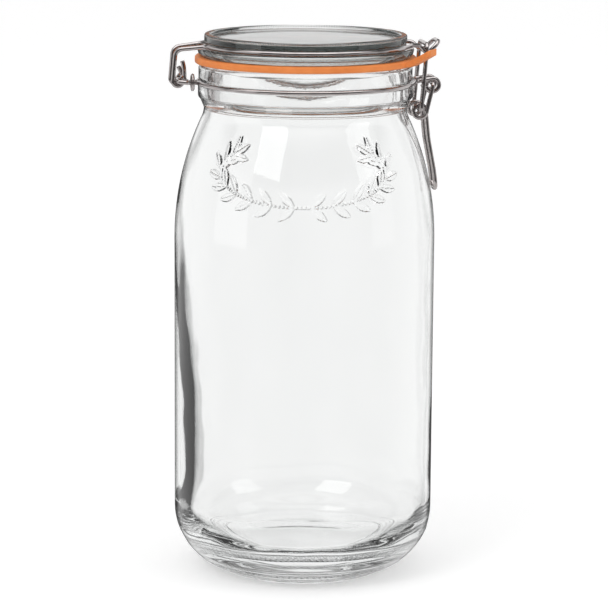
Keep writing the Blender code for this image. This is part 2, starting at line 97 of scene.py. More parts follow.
# Jar shoulder, barrel and base
WALL = 0.0038
SHOULDER_CURVE = 0.1500
HEEL_CURVE = 0.0335
FOOT_RADIUS = 0.0450
FOOT_WIDTH = 0.0045
FOOT_ROUND = 0.0012
PUNT_RISE = 0.0050
FLOOR_RADIUS = 0.0460
FLOOR_HEIGHT = 0.0155
FLOOR_CROWN = 0.0015
INNER_HEEL_RISE = 0.0245
DOME_ROWS = 12
OUTER_BARREL_ROWS = 12
INNER_BARREL_ROWS = 24
SHOULDER_ROWS = 40

# Line on the heel where the mould's base plate met its sides, and the pips on the foot
PARTING_TURN = math.radians(47)
PARTING_DEPTH = 0.00025
PARTING_STEP = math.radians(0.8)
PIP_COUNT = 108
PIP_HEIGHT = 0.0006
PIP_ROWS = 2
PIP_PITCH = 0.0024
PIP_LOWEST = 0.0014
PIP_TOP = 0.0075
PIP_FADE = 0.25

# Unevenness of the blown inner wall: its waves, and where the glass gathered low down on the hinge side
WAVE_SIZE = 0.032
WAVE_DEPTH = 0.0008
WALL_THINNING = 0.0011
GATHER_DIRECTION = math.radians(174)
GATHER_HALF_TURN = math.radians(48)
GATHER_DEPTH = 0.0034
GATHER_HEIGHT = 0.052
GATHER_RISE = 0.160
GATHER_FALL = 0.034

# Garland raised on the shoulder: two stems that meet at the bottom, with a pair of leaves at each node
GARLAND_DIRECTION = math.radians(-99)
GARLAND_HEIGHT = 0.2205
GARLAND_HALF_WIDTH = 0.0500
GARLAND_HALF_HEIGHT = 0.0165
GARLAND_RELIEF = 0.0011
GARLAND_EDGE = 0.0006
GARLAND_MARGIN = 0.0014
RELIEF_CUTS = 3
STEM_HALF_THICKNESS = 0.0007
STEM_POINTS = 48
STEM_START = math.radians(-97)
STEM_SWEEP = math.radians(128)
STEM_NUDGE = 0.01
LEAF_COUNT = 9
FIRST_LEAF = 0.8
LEAF_LENGTH = 0.0060
LEAF_WIDTH = 0.0023
LEAF_SPREAD = math.radians(38)
LEAF_VEIN = 0.0005
VEIN_DEPTH = 0.55

# Glass lid
LID_HEIGHT = 0.0113
LID_CHAMFER = 0.0004
FLANGE_TAPER = 0.0008
FLANGE_HEIGHT = 0.0043
FLANGE_ROUND = 0.0010
LID_NECK_INSET = 0.0042
RING_PROUD = 0.0005
RING_HEIGHT = 0.0039
RING_WIDTH = 0.0030
RING_ROUND = 0.0009
RECESS_DEPTH = 0.0020
DISC_THICKNESS = 0.0055
LIP_PLAY = 0.0004
LIP_DEPTH = 0.0084
LIP_WIDTH = 0.0042
LIP_POINT = 0.0046
LIP_FILLET = 0.0010
DISC_ROWS = 12
TOOTH_DEPTH = 0.0006

# Rubber seal and its pull tab, drawn in rows at shares of its length, rise and width
SEAL_HOLE_MARGIN = 0.0003
SEAL_THICKNESS = 0.0036
SEAL_CHAMFER = 0.0005
TAB_DIRECTION = math.radians(-30)
TAB_WIDTH = 0.0130
TAB_LENGTH = 0.0130
TAB_RISE = 0.0066
TAB_THICKNESS = 0.0035
TAB_EDGE_ROUND = 0.0003
TAB_ROW_SHARES = ((0.2, 0.1, 1.0), (0.45, 0.38, 1.0), (0.92, 0.92, 0.96), (1.0, 1.0, 0.8))

# Hinge: the bar that the neck wires form, the bail's hooks, the twisted tail and the collar
HINGE_HALF_WIDTH = 0.0106
HINGE_SIDE_DEPTH = 0.0048
HINGE_SIDE_DROP = 0.0006
HOOK_HALF_SPAN = 0.0070
HOOK_WRAP = math.radians(240)
ARM_SPREAD_REACH = 0.0053
TAIL_INSET = 0.0039
TAIL_LENGTH = 0.0082
TAIL_STEP = 0.0030
TAIL_LEAD = 0.0300
TAIL_LEAN = 0.0024
COLLAR_WIRE_RADIUS = 0.0009
COLLAR_REACH = 0.0031

# Bail: legs behind the lid, circle round its neck and tongue over the seal's front
LEG_LEAN = 0.0014
LEG_TOP_DROP = 0.0018
LEG_BEND = 0.0042
ENTRY_ANGLE = math.radians(162)
ENTRY_HALF_SPAN = 0.0110
ENTRY_BEND = 0.0050
EXIT_ANGLE = math.radians(24)
EXIT_HALF_SPAN = 0.0120
EXIT_BEND = 0.0040
TONGUE_HALF_WIDTH = 0.0080
TONGUE_FLARE = 0.0014
TROUGH_REACH = 0.0053
TROUGH_BEND = 0.0030
TIP_REACH = 0.0062
TIP_RISE = 0.0017
TIP_BEND = 0.0042

# Latch: the neck wires' eyes, the lever with its coils and handle, and the link
PIN_OVERHANG = 0.0020
EYE_RADIUS = 0.00348
EYE_WRAP = math.radians(255)
NECK_EXIT_ANGLE = math.radians(18)
NECK_EXIT_BEND = 0.0040
NECK_ENTRY_ANGLE = math.radians(168)
COIL_RADIUS = 0.00345
HANDLE_LENGTH = 0.0418
UPPER_KNEE_DROP = 0.0148
UPPER_KNEE_STANDOFF = 0.0054
LOWER_KNEE_DROP = 0.0318
LOWER_KNEE_STANDOFF = 0.0035
HANDLE_TIP_STANDOFF = 0.0027
KNEE_BEND = 0.0250
HANDLE_TIP_BEND = 0.0048
LEVER_TRAVEL = math.radians(120)
TRAVEL_STEPS = 40
LINK_LENGTH = 0.0349
LINK_TILT = math.radians(4.8)
LINK_SIDE_PLAY = 0.0006
LINK_BEND = 0.0026
LINK_TURN_RATIO = -0.6

# Camera, as the photograph was taken, with its image size in pixels
IMAGE_WIDTH = 608
FOCAL_PIXELS = 2996.5
SENSOR_WIDTH = 36
CAMERA_PLACE = (-0.2188, -1.5572, 0.4344)
CAMERA_AZIMUTH = math.radians(-8)
CAMERA_PITCH = math.radians(10.53)
CAMERA_ROLL = math.radians(0.4)

# Glass: noise scales in cycles per metre, bumps as a depth and a strength, tints and the painted dark outline
# where it is seen edge-on
GLASS_IOR = 1.51
GLASS_WAVE_SCALE = 38
GLASS_WAVE_STRETCH = (1, 1, 0.45)
GLASS_WAVE_BUMP = (0.0004, 0.5)
GLASS_GRAIN_SCALE = 900
GLASS_GRAIN_STRENGTH = 0.4
GLASS_ROUGHNESS = (0.0, 0.012)
GLASS_TINTS = ((0.975, 0.980, 0.978), (0.992, 0.996, 0.994))
# Painted shade: the Layer Weight facing span over which the glass's colour turns dark, and that dark colour,
# which together draw a dark outline
GLASS_PAINTED_OUTLINE_SPAN = (0.74, 0.92)
GLASS_PAINTED_OUTLINE_COLOUR = (0.22, 0.23, 0.225, 1)
GLASS_DEPTH_COLOUR = (0.86, 0.868, 0.865, 1)
JAR_GRAIN_DEPTH = 0.00001
JAR_TINT_DENSITY = 9
LID_GRAIN_DEPTH = 0.00003
LID_TINT_DENSITY = 150

# Rubber: its dusty patches, its skin and how deep light soaks into it
RUBBER_PATCH_SCALE = 120
RUBBER_PATCH_DETAIL = 4
RUBBER_PATCH_BUMP = (0.0002, 0.4)
RUBBER_SKIN_SCALE = 2600
RUBBER_SKIN_DETAIL = 3
RUBBER_SKIN_BUMP = (0.00006, 0.6)
RUBBER_TINTS = ((0.80, 0.225, 0.045), (0.90, 0.29, 0.075))
RUBBER_ROUGHNESS = (0.48, 0.66)
RUBBER_SOFTNESS = 0.05
RUBBER_SOFT_DEPTH = 0.002

# Steel: its duller patches and its draw marks
STEEL_PATCH_SCALE = 160
STEEL_PATCH_DETAIL = 3
STEEL_PATCH_BUMP = (0.00006, 0.25)
STEEL_MARK_SCALE = 1400
STEEL_MARK_STRETCH = (0.35, 0.35, 1.6)
STEEL_MARK_BUMP = (0.00001, 0.5)
STEEL_TINTS = ((0.37, 0.34, 0.335), (0.49, 0.455, 0.45))
STEEL_ROUGHNESS = (0.10, 0.22)

# Part of a noise's range that tints and roughness follow
NOISE_SPAN = (0.3, 0.7)

# Studio: its floor, and its lamps, each with its place, size and power
FLOOR_SIZE = 12.0
FLOOR_COLOUR = (0.86, 0.86, 0.86, 1)
FLOOR_ROUGHNESS = 0.9
FLOOR_GLOSS = 0.1
FLOOR_GLOW = 0.36
KEY_LAMP = ((-1.1, -1.0, 1.5), 0.9, 9.0)
FILL_LAMP = ((1.2, -0.7, 0.9), 0.7, 3.0)
WHITE = (1, 1, 1, 1)
SOFT_LEVEL = 0.72
GLASS_BOUNCES = 8

# Studio through the glass: turns are taken from straight behind the jar, and rises are sines
BACKDROP_LEVEL = 0.96
CEILING_RISE = (0.34, 0.47)
CEILING_LEVEL = 0.12
SKYLIGHT_RISE = (0.80, 0.96)
SKYLIGHT_LEVEL = 1.5
LEFT_FLAG = (math.radians(19), math.radians(42))
FLAG_LEVEL = 0.55
FLAG_SOFTNESS = math.radians(2.5)

# Studio in reflections: its dark front, the card that darkens the outlines, the strips, the table and the top
FRONT_TURN = (math.radians(60), math.radians(115))
FRONT_LEVEL = 0.1
OUTLINE_CARD_TURN = (math.radians(22), math.radians(36))
OUTLINE_CARD_RISE = (-0.06, 0.02)
OUTLINE_CARD_LEVEL = 0.12
LEFT_STRIP = (math.radians(92), math.radians(130))
RIGHT_STRIP = (math.radians(-120), math.radians(-92))
STRIPS = ((LEFT_STRIP, 1.2), (RIGHT_STRIP, 0.8))
STRIP_FOOT_RISE = (-0.15, -0.10)
STRIP_TOP_RISE = (0.60, 0.70)
TABLE_RISE = (-0.45, -0.30)
TABLE_LEVEL = 0.9
TOP_LIGHT_TURN = (math.radians(60), math.radians(110))
TOP_LIGHT_REACH = 0.2
TOP_LIGHT_RISE = (0.72, 0.96)
TOP_LIGHT_LEVEL = 2.2

# Jar, lid and seal, worked out
RIM_RADIUS = MOUTH_RADIUS + RIM_WIDTH
BEAD_RADIUS = RIM_RADIUS + BEAD_OVERHANG
WAIST_RADIUS = RIM_RADIUS - WAIST_INSET
WAIST_HEIGHT = JAR_HEIGHT - WAIST_DROP
NECK_WIRE_HEIGHT = JAR_HEIGHT - GROOVE_DROP
WAIST_CENTRE = WAIST_RADIUS + WAIST_CURVE
SHOULDER_CENTRE = BARREL_RADIUS - SHOULDER_CURVE
SHOULDER_SPAN = SHOULDER_CURVE + WAIST_CURVE
SHOULDER_TURN = math.acos((WAIST_CENTRE - SHOULDER_CENTRE) / SHOULDER_SPAN)
SHOULDER_HEIGHT = WAIST_HEIGHT - SHOULDER_SPAN * math.sin(SHOULDER_TURN)
SHOULDER_TOP = SHOULDER_HEIGHT + SHOULDER_CURVE * math.sin(SHOULDER_TURN)
HEEL_CENTRE = BARREL_RADIUS - HEEL_CURVE
HEEL_TURN = math.acos((FOOT_RADIUS - HEEL_CENTRE) / HEEL_CURVE)
HEEL_HEIGHT = FOOT_ROUND + HEEL_CURVE * math.sin(HEEL_TURN)
SEAL_HOLE_RADIUS = MOUTH_RADIUS + SEAL_HOLE_MARGIN
SEAL_TOP = SEAL_BOTTOM + SEAL_THICKNESS
LID_BOTTOM = LID_TOP - LID_HEIGHT
FLANGE_TOP = LID_BOTTOM + FLANGE_HEIGHT
LID_NECK_RADIUS = FLANGE_RADIUS - LID_NECK_INSET
RING_RADIUS = LID_NECK_RADIUS + RING_PROUD
RING_INNER = RING_RADIUS - RING_WIDTH
DISC_TOP = LID_TOP - RECESS_DEPTH

# Wires, worked out
WIRE_SEAT = WIRE_RADIUS + CLEARANCE
WIRE_PITCH = WIRE_RADIUS + WIRE_SEAT
NECK_RING_RADIUS = BEAD_RADIUS
BAIL_RING_RADIUS = LID_NECK_RADIUS + WIRE_SEAT
BAIL_HEIGHT = FLANGE_TOP + WIRE_SEAT
LINK_HALF_WIDTH = TONGUE_HALF_WIDTH + WIRE_PITCH + LINK_SIDE_PLAY
LEVER_HALF_WIDTH = LINK_HALF_WIDTH - WIRE_PITCH
HANDLE_HALF_WIDTH = LEVER_HALF_WIDTH - WIRE_PITCH
PIN_END = HANDLE_HALF_WIDTH - PIN_OVERHANG
PAIR_HALF_SPAN = WIRE_SEAT
EYE_CENTRE = PIVOT - Vector((0, 0, EYE_RADIUS - WIRE_PITCH))
COIL_CENTRE = LINK_PIVOT - Vector((0, 0, COIL_RADIUS - WIRE_PITCH))
LINK_RISE = Vector((math.sin(LINK_TILT), 0, math.cos(LINK_TILT))) * LINK_LENGTH


def choose(piece):
    """Selects one piece and nothing else, and makes it the one that operators work on."""
    bpy.ops.object.select_all(action="DESELECT")
    piece.select_set(True)
    bpy.context.view_layer.objects.active = piece


def start_editing(piece):
    choose(piece)
    bpy.ops.object.mode_set(mode="EDIT")


def stop_editing():
    bpy.ops.object.mode_set(mode="OBJECT")


def select_faces(piece, test):
    """Selects the faces that pass a test, and nothing else. The piece is in object mode."""
    bpy.context.tool_settings.mesh_select_mode = (False, False, True)
    data = piece.data
    data.vertices.foreach_set("select", [False] * len(data.vertices))
    data.edges.foreach_set("select", [False] * len(data.edges))
    data.polygons.foreach_set("select", [test(face) for face in data.polygons])


def apply_modifier(piece, kind, **settings):
    choose(piece)
    modifier = piece.modifiers.new(kind.lower(), kind)
    for name, value in settings.items():
        setattr(modifier, name, value)
    bpy.ops.object.modifier_apply(modifier=modifier.name)


def round_edges(piece, width, sharpness):
    apply_modifier(piece, "BEVEL", width=width, segments=2, limit_method="ANGLE", angle_limit=sharpness)


def finish_piece(piece, node, body, finish):
    """Shades a piece, gives it its material and puts it in its CAD node's place."""
    choose(piece)
    bpy.ops.object.transform_apply(location=True, rotation=True, scale=True)
    bpy.ops.object.shade_smooth_by_angle(angle=SMOOTH_ANGLE)
    piece.data.materials.clear()
    piece.data.materials.append(finish)
    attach(piece, body)
    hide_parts(node)


def refine(piece, test):
    """Cuts the faces that pass a test finer, so that they can carry relief."""
    select_faces(piece, test)
    start_editing(piece)
    bpy.ops.mesh.subdivide(number_cuts=RELIEF_CUTS)
    stop_editing()


def set_reach(vertex, reach):
    """Moves a vertex straight out or in, to a distance from the axis."""
    scale = reach / math.hypot(vertex.co.x, vertex.co.y)
    vertex.co = (vertex.co.x * scale, vertex.co.y * scale, vertex.co.z)


def arc(centre, height, radius, start, end, step=ARC_STEP):
    """Points of an arc in an outline, from one angle to another, both ends included."""
    count = max(2, round(abs(end - start) / step))
    angles = [start + (end - start) * index / count for index in range(count + 1)]
    return [(centre + radius * math.cos(a), height + radius * math.sin(a)) for a in angles]


def run(start, end, rows):
    """Points along a straight stretch of an outline, both ends left out."""
    shares = [index / rows for index in range(1, rows)]
    return [(start[0] + (end[0] - start[0]) * s, start[1] + (end[1] - start[1]) * s) for s in shares]


def dome(radius, base, rise):
    """Points of a shallow dome in an outline, from the axis out to its level foot."""
    shares = [index / DOME_ROWS for index in range(DOME_ROWS + 1)]
    return [(radius * share, base + rise * (1 + math.cos(math.pi * share)) / 2) for share in shares]


def turned(name, outline, columns):
    """A closed piece: an outline drawn point by point from one vertex, and spun round the axis."""
    bpy.ops.object.select_all(action="DESELECT")
    radius, height = outline[0]
    bpy.ops.mesh.primitive_plane_add(size=CLEARANCE, location=(radius, 0, height))
    piece = bpy.context.object
    piece.name = name
    bpy.ops.object.transform_apply(location=True)
    bpy.context.tool_settings.mesh_select_mode = (True, False, False)
    bpy.ops.object.mode_set(mode="EDIT")
    bpy.ops.mesh.select_all(action="SELECT")
    bpy.ops.mesh.merge(type="CENTER")
    for (radius, height), (next_radius, next_height) in zip(outline, outline[1:]):
        step = (next_radius - radius, 0, next_height - height)
        bpy.ops.mesh.extrude_vertices_move(TRANSFORM_OT_translate={"value": step})
    bpy.ops.mesh.select_all(action="SELECT")
    bpy.ops.mesh.spin(steps=columns, angle=math.tau, center=(0, 0, 0), axis=(0, 0, 1))
    bpy.ops.mesh.select_all(action="SELECT")
    bpy.ops.mesh.remove_doubles(threshold=WELD_DISTANCE)
    bpy.ops.mesh.normals_make_consistent(inside=False)
    stop_editing()
    return piece


def outer_jar():
    """The jar's outer outline, from the middle of the base up to the mouth."""
    outline = dome(FOOT_RADIUS - FOOT_WIDTH, 0, PUNT_RISE)
    outline += [(FOOT_RADIUS - FOOT_ROUND, 0)]
    low_turn = PARTING_TURN + PARTING_STEP
    high_turn = PARTING_TURN - PARTING_STEP
    outline += arc(HEEL_CENTRE, HEEL_HEIGHT, HEEL_CURVE, -HEEL_TURN, -low_turn, ARC_STEP / 2)
    outline += arc(HEEL_CENTRE, HEEL_HEIGHT, HEEL_CURVE - PARTING_DEPTH, -PARTING_TURN, -PARTING_TURN)[:1]
    outline += arc(HEEL_CENTRE, HEEL_HEIGHT, HEEL_CURVE, -high_turn, 0)
    outline += run((BARREL_RADIUS, HEEL_HEIGHT), (BARREL_RADIUS, SHOULDER_HEIGHT), OUTER_BARREL_ROWS)
    shoulder_step = SHOULDER_TURN / SHOULDER_ROWS
    outline += arc(SHOULDER_CENTRE, SHOULDER_HEIGHT, SHOULDER_CURVE, 0, SHOULDER_TURN, shoulder_step)
    outline += arc(WAIST_CENTRE, WAIST_HEIGHT, WAIST_CURVE, math.pi + SHOULDER_TURN, math.pi)[1:]
    bead_height = JAR_HEIGHT - BEAD_DROP + BEAD_ROUND
    outline += arc(BEAD_RADIUS - BEAD_ROUND, bead_height, BEAD_ROUND, -math.pi / 3, 0, ROUND_STEP)
    groove_end = math.acos((RIM_RADIUS - BEAD_RADIUS) / WIRE_SEAT)
    groove_start = math.pi * 3 / 2
    outline += arc(BEAD_RADIUS, NECK_WIRE_HEIGHT, WIRE_SEAT, groove_start, groove_end, ROUND_STEP)
    rim_height = JAR_HEIGHT - RIM_ROUND
    return outline + arc(RIM_RADIUS - RIM_ROUND, rim_height, RIM_ROUND, 0, math.pi / 2, ROUND_STEP)


def inner_jar():
    """The jar's inner outline, from the mouth down to the middle of the floor."""
    round_height = JAR_HEIGHT - MOUTH_ROUND
    round_centre = MOUTH_RADIUS + MOUTH_ROUND
    outline = arc(round_centre, round_height, MOUTH_ROUND, math.pi / 2, math.pi, ROUND_STEP)
    outline += [(MOUTH_RADIUS, JAR_HEIGHT - MOUTH_DEPTH)]
    neck_curve = WAIST_CURVE + WALL
    outline += arc(WAIST_CENTRE, WAIST_HEIGHT, neck_curve, math.pi, math.pi + SHOULDER_TURN)
    inner_curve = SHOULDER_CURVE - WALL
    shoulder_step = SHOULDER_TURN / SHOULDER_ROWS * 2
    outline += arc(SHOULDER_CENTRE, SHOULDER_HEIGHT, inner_curve, SHOULDER_TURN, 0, shoulder_step)[1:]
    inner_radius = BARREL_RADIUS - WALL
    floor_top = FLOOR_HEIGHT + INNER_HEEL_RISE
    outline += run((inner_radius, SHOULDER_HEIGHT), (inner_radius, floor_top), INNER_BARREL_ROWS)
    heel_depth = inner_radius - FLOOR_RADIUS
    for across, up in arc(0, 0, 1, 0, math.pi / 2):
        height = FLOOR_HEIGHT + INNER_HEEL_RISE * (1 - up)
        outline.append((FLOOR_RADIUS + heel_depth * across, height))
    return outline + dome(FLOOR_RADIUS, FLOOR_HEIGHT, FLOOR_CROWN)[-2::-1]


def stem_point(share, side):
    """A place on one of the garland's two stems, from their crossing at the bottom to a tip."""
    turn = STEM_START + STEM_SWEEP * share
    return Vector((GARLAND_HALF_WIDTH * math.cos(turn) * side, GARLAND_HALF_HEIGHT * math.sin(turn)))


def ramp(distance, edge):
    """1 well inside a shape, 0 outside, and a smooth slope between, from a distance to its border."""
    share = min(1, max(0, distance / edge))
    return share * share * (3 - 2 * share)


def leaf_height(offset, direction):
    """How high a leaf stands at an offset from its middle."""
    along = offset.dot(direction) / LEAF_LENGTH
    across = abs(offset.cross(direction))
    inside = LEAF_WIDTH * (1 - along * along) - across
    vein = ramp(LEAF_VEIN - across, LEAF_VEIN) * VEIN_DEPTH
    return ramp(inside, GARLAND_EDGE) * (1 - vein) if abs(along) < 1 else 0


def garland_leaves():
    """Middles and directions of the leaves along both stems, and one at each tip."""
    leaves = []
    for side in (-1, 1):
        for index in range(LEAF_COUNT):
            share = (index + FIRST_LEAF) / LEAF_COUNT
            root = stem_point(share, side)
            forward = (stem_point(share + STEM_NUDGE, side) - root).normalized()
            for turn in (-LEAF_SPREAD, LEAF_SPREAD):
                direction = Matrix.Rotation(turn, 2) @ forward
                leaves.append((root + direction * LEAF_LENGTH, direction))
        tip = stem_point(1, side)
        forward = (tip - stem_point(1 - STEM_NUDGE, side)).normalized()
        leaves.append((tip + forward * LEAF_LENGTH, forward))
    return leaves


def garland_height(place, leaves, stems):
    """How high the garland stands at a place on the unrolled shoulder, as a share of its relief."""
    reach = STEM_HALF_THICKNESS + GARLAND_EDGE / 2
    height = max(ramp(reach - (place - point).length, GARLAND_EDGE) for point in stems)
    for middle, direction in leaves:
        if (place - middle).length < LEAF_LENGTH:
            height = max(height, leaf_height(place - middle, direction))
    return height


def jar_radius(height):
    """The jar's outer radius on its barrel and shoulder."""
    above = max(0, height - SHOULDER_HEIGHT)
    return SHOULDER_CENTRE + math.sqrt(SHOULDER_CURVE**2 - above**2)


def unrolled(place):
    """A place on the shoulder as a distance round from the garland's middle and one up from it."""
    turn = math.atan2(place.y, place.x) - GARLAND_DIRECTION
    turn = (turn + math.pi) % math.tau - math.pi
    return Vector((turn * BARREL_RADIUS, place.z - GARLAND_HEIGHT))


def emboss_garland(piece):
    """Raises the garland on the jar's shoulder, after the faces under it are cut finer."""
    leaves = garland_leaves()
    stems = [stem_point(i / STEM_POINTS, side) for side in (-1, 1) for i in range(STEM_POINTS + 1)]
    half_width = GARLAND_HALF_WIDTH + LEAF_LENGTH * 2
    half_height = GARLAND_HALF_HEIGHT + LEAF_LENGTH * 2

    def on_shoulder(place):
        flat = unrolled(place)
        outside = math.hypot(place.x, place.y) > jar_radius(place.z) - WALL / 2
        return outside and abs(flat.x) < half_width and abs(flat.y) < half_height and place.z < SHOULDER_TOP

    def under_garland(face):
        middle = unrolled(face.center)
        spots = [middle + Vector((across, up)) * GARLAND_MARGIN for across in (-1, 0, 1) for up in (-1, 0, 1)]
        return on_shoulder(face.center) and any(garland_height(spot, leaves, stems) for spot in spots)

    refine(piece, under_garland)
    for vertex in piece.data.vertices:
        if on_shoulder(vertex.co):
            relief = GARLAND_RELIEF * garland_height(unrolled(vertex.co), leaves, stems)
            set_reach(vertex, min(jar_radius(vertex.co.z) + relief, BARREL_RADIUS))


def emboss_pips(piece):
    """Raises rows of small pips on the foot, which keep the hot jar off the belt that it cools on."""

    def on_foot(place):
        outside = math.hypot(place.x, place.y) > FOOT_RADIUS - FOOT_ROUND / 2
        return outside and FOOT_ROUND / 2 < place.z < PIP_TOP

    refine(piece, lambda face: on_foot(face.center))
    for vertex in piece.data.vertices:
        if not on_foot(vertex.co):
            continue
        turn = math.atan2(vertex.co.y, vertex.co.x)
        row = (vertex.co.z - PIP_LOWEST) / PIP_PITCH
        across = math.cos(math.tau * row) if 0 < row < PIP_ROWS + PIP_FADE else -1
        shift = round(row) % 2 * math.pi
        pip = max(0, math.cos(PIP_COUNT * turn + shift)) * max(0, across)
        heel_angle = math.asin(max(-1, min(1, (vertex.co.z - HEEL_HEIGHT) / HEEL_CURVE)))
        set_reach(vertex, HEEL_CENTRE + HEEL_CURVE * math.cos(heel_angle) + PIP_HEIGHT * pip)


def gathered_glass(place):
    """How much thicker than elsewhere the wall is at a place, where the glass gathered as it was blown."""
    turn = abs((math.atan2(place.y, place.x) - GATHER_DIRECTION + math.pi) % math.tau - math.pi)
    above = place.z - GATHER_HEIGHT
    fading = GATHER_RISE if above > 0 else GATHER_FALL
    return GATHER_DEPTH * ramp(GATHER_HALF_TURN - turn, GATHER_HALF_TURN) * ramp(fading - abs(above), fading)


def make_inner_wall_wavy(piece):
    """Gives the inside of the blown barrel its uneven thickness, and barrel and floor their slow waves."""
    inner = piece.vertex_groups.new(name="inner_wall")
    for vertex in piece.data.vertices:
        reach = math.hypot(vertex.co.x, vertex.co.y)
        inside = reach < jar_radius(vertex.co.z) - WALL / 2 and vertex.co.z > FLOOR_HEIGHT - CLEARANCE
        below_neck = ramp(WAIST_HEIGHT - vertex.co.z, WAIST_DROP * 2)
        if not inside or below_neck == 0:
            continue
        inner.add([vertex.index], below_neck, "REPLACE")
        above_floor = ramp(vertex.co.z - FLOOR_HEIGHT, INNER_HEEL_RISE)
        if above_floor > 0:
            shift = (WALL_THINNING - gathered_glass(vertex.co)) * above_floor * below_neck
            set_reach(vertex, reach + shift)
    waves = bpy.data.textures.new("blown_waves", "CLOUDS")
    waves.noise_scale = WAVE_SIZE
    waves.noise_depth = 1
    apply_modifier(
        piece,
        "DISPLACE",
        texture=waves,
        texture_coords="LOCAL",
        vertex_group=inner.name,
        mid_level=0.5,
        strength=WAVE_DEPTH,
    )
    bpy.data.textures.remove(waves)


def make_jar(finish):
    piece = turned("jar_body", outer_jar() + inner_jar(), JAR_COLUMNS)
    emboss_garland(piece)
    emboss_pips(piece)
    make_inner_wall_wavy(piece)
    finish_piece(piece, "glass_jar", "root", finish)


def lid_outline():
    """The lid's outline, from the middle of its top round to the middle of its underside."""
    disc_edge = RING_INNER - RING_ROUND
    outline = [(0, DISC_TOP)] + run((0, DISC_TOP), (disc_edge, DISC_TOP), DISC_ROWS) + [(disc_edge, DISC_TOP)]
    outline += arc(disc_edge, DISC_TOP + RING_ROUND, RING_ROUND, -math.pi / 2, 0, ROUND_STEP)[1:]
    crest = RING_ROUND / 2
    outline += [(RING_INNER, LID_TOP - crest)]
    outline += arc(RING_INNER + crest, LID_TOP - crest, crest, math.pi, math.pi / 2)[2::3]
    ring_round_centre = RING_RADIUS - RING_ROUND
    outline += arc(ring_round_centre, LID_TOP - RING_ROUND, RING_ROUND, math.pi / 2, 0, ROUND_STEP)
    ring_bottom = LID_TOP - RING_HEIGHT
    outline += [(RING_RADIUS, ring_bottom), (LID_NECK_RADIUS, ring_bottom - RING_PROUD)]
    outline += [(LID_NECK_RADIUS, FLANGE_TOP)]
    flange_round_centre = FLANGE_RADIUS - FLANGE_ROUND
    outline += arc(flange_round_centre, FLANGE_TOP - FLANGE_ROUND, FLANGE_ROUND, math.pi / 2, 0, ROUND_STEP)
    flange_foot = FLANGE_RADIUS - FLANGE_TAPER
    outline += [(flange_foot, LID_BOTTOM + LID_CHAMFER), (flange_foot - LID_CHAMFER, LID_BOTTOM)]
    lip_radius = MOUTH_RADIUS - LIP_PLAY
    lip_bottom = LID_BOTTOM - LIP_DEPTH
    lip_inner = lip_radius - LIP_WIDTH
    disc_bottom = DISC_TOP - DISC_THICKNESS
    outline += [(lip_radius, LID_BOTTOM)]
    for across, up in arc(0, 0, 1, 0, -math.pi, ROUND_STEP):
        outline.append((lip_radius + LIP_WIDTH / 2 * (across - 1), lip_bottom + LIP_POINT * (1 + up)))
    fillet_centre = lip_inner - LIP_FILLET
    outline += arc(fillet_centre, disc_bottom - LIP_FILLET, LIP_FILLET, 0, math.pi / 2, ROUND_STEP)
    return outline + run((fillet_centre, disc_bottom), (0, disc_bottom), DISC_ROWS) + [(0, disc_bottom)]


def cut_teeth(piece):
    """Presses fine teeth into the top and the inner side of the lid's ring, on every second column."""
    column_turn = math.pi / TOOTH_COUNT
    for vertex in piece.data.vertices:
        column = round(math.atan2(vertex.co.y, vertex.co.x) / column_turn)
        if column % 2 == 0:
            continue
        reach = math.hypot(vertex.co.x, vertex.co.y)
        height = ramp(vertex.co.z - LID_TOP + RING_ROUND, RING_ROUND)
        inside = ramp(vertex.co.z - DISC_TOP, RING_ROUND) * ramp(RING_INNER + RING_ROUND - reach, RING_ROUND)
        vertex.co.z -= TOOTH_DEPTH * height
        if reach > WELD_DISTANCE:
            set_reach(vertex, reach + TOOTH_DEPTH * inside)


def make_lid(finish):
    piece = turned("lid_body", lid_outline(), TOOTH_COUNT * 2)
    cut_teeth(piece)
    finish_piece(piece, "glass_lid", "lid", finish)


def seal_outline():
    inner = SEAL_HOLE_RADIUS
    outer = SEAL_RADIUS
    low = SEAL_BOTTOM + SEAL_CHAMFER
    high = SEAL_TOP - SEAL_CHAMFER
    outline = [(inner + SEAL_CHAMFER, SEAL_BOTTOM), (outer - SEAL_CHAMFER, SEAL_BOTTOM)]
    outline += [(outer, low), (outer, high)]
    outline += [(outer - SEAL_CHAMFER, SEAL_TOP), (inner + SEAL_CHAMFER, SEAL_TOP)]
    return outline + [(inner, high), (inner, low), (inner + SEAL_CHAMFER, SEAL_BOTTOM)]


def draw_tab(piece):
    """Draws the pull tab out of the seal along +X, row by row, before the seal is turned to its place."""
    half_turn = math.asin(TAB_WIDTH / 2 / SEAL_RADIUS)
    widest = SEAL_RADIUS * math.sin(half_turn)
    select_faces(piece, lambda face: face.center.x > 0 and face.normal.x > math.cos(half_turn))
    start_editing(piece)
    reach = SEAL_RADIUS * math.cos(half_turn / 2)
    rise = (SEAL_BOTTOM + SEAL_TOP) / 2
    width = widest
    thickness = SEAL_THICKNESS - 2 * SEAL_CHAMFER
    for length_share, rise_share, width_share in TAB_ROW_SHARES:
        next_reach = SEAL_RADIUS + TAB_LENGTH * length_share
        next_rise = (SEAL_BOTTOM + SEAL_TOP) / 2 + TAB_RISE * rise_share
        next_width = TAB_WIDTH / 2 * width_share
        step = (next_reach - reach, 0, next_rise - rise)
        bpy.ops.mesh.extrude_region_move(TRANSFORM_OT_translate={"value": step})
        bpy.ops.transform.resize(
            value=(0, next_width / width, TAB_THICKNESS / thickness),
            center_override=(next_reach, 0, next_rise),
        )
        reach, rise, width, thickness = next_reach, next_rise, next_width, TAB_THICKNESS
    bpy.ops.mesh.select_all(action="SELECT")
    bpy.ops.mesh.normals_make_consistent(inside=False)
    stop_editing()


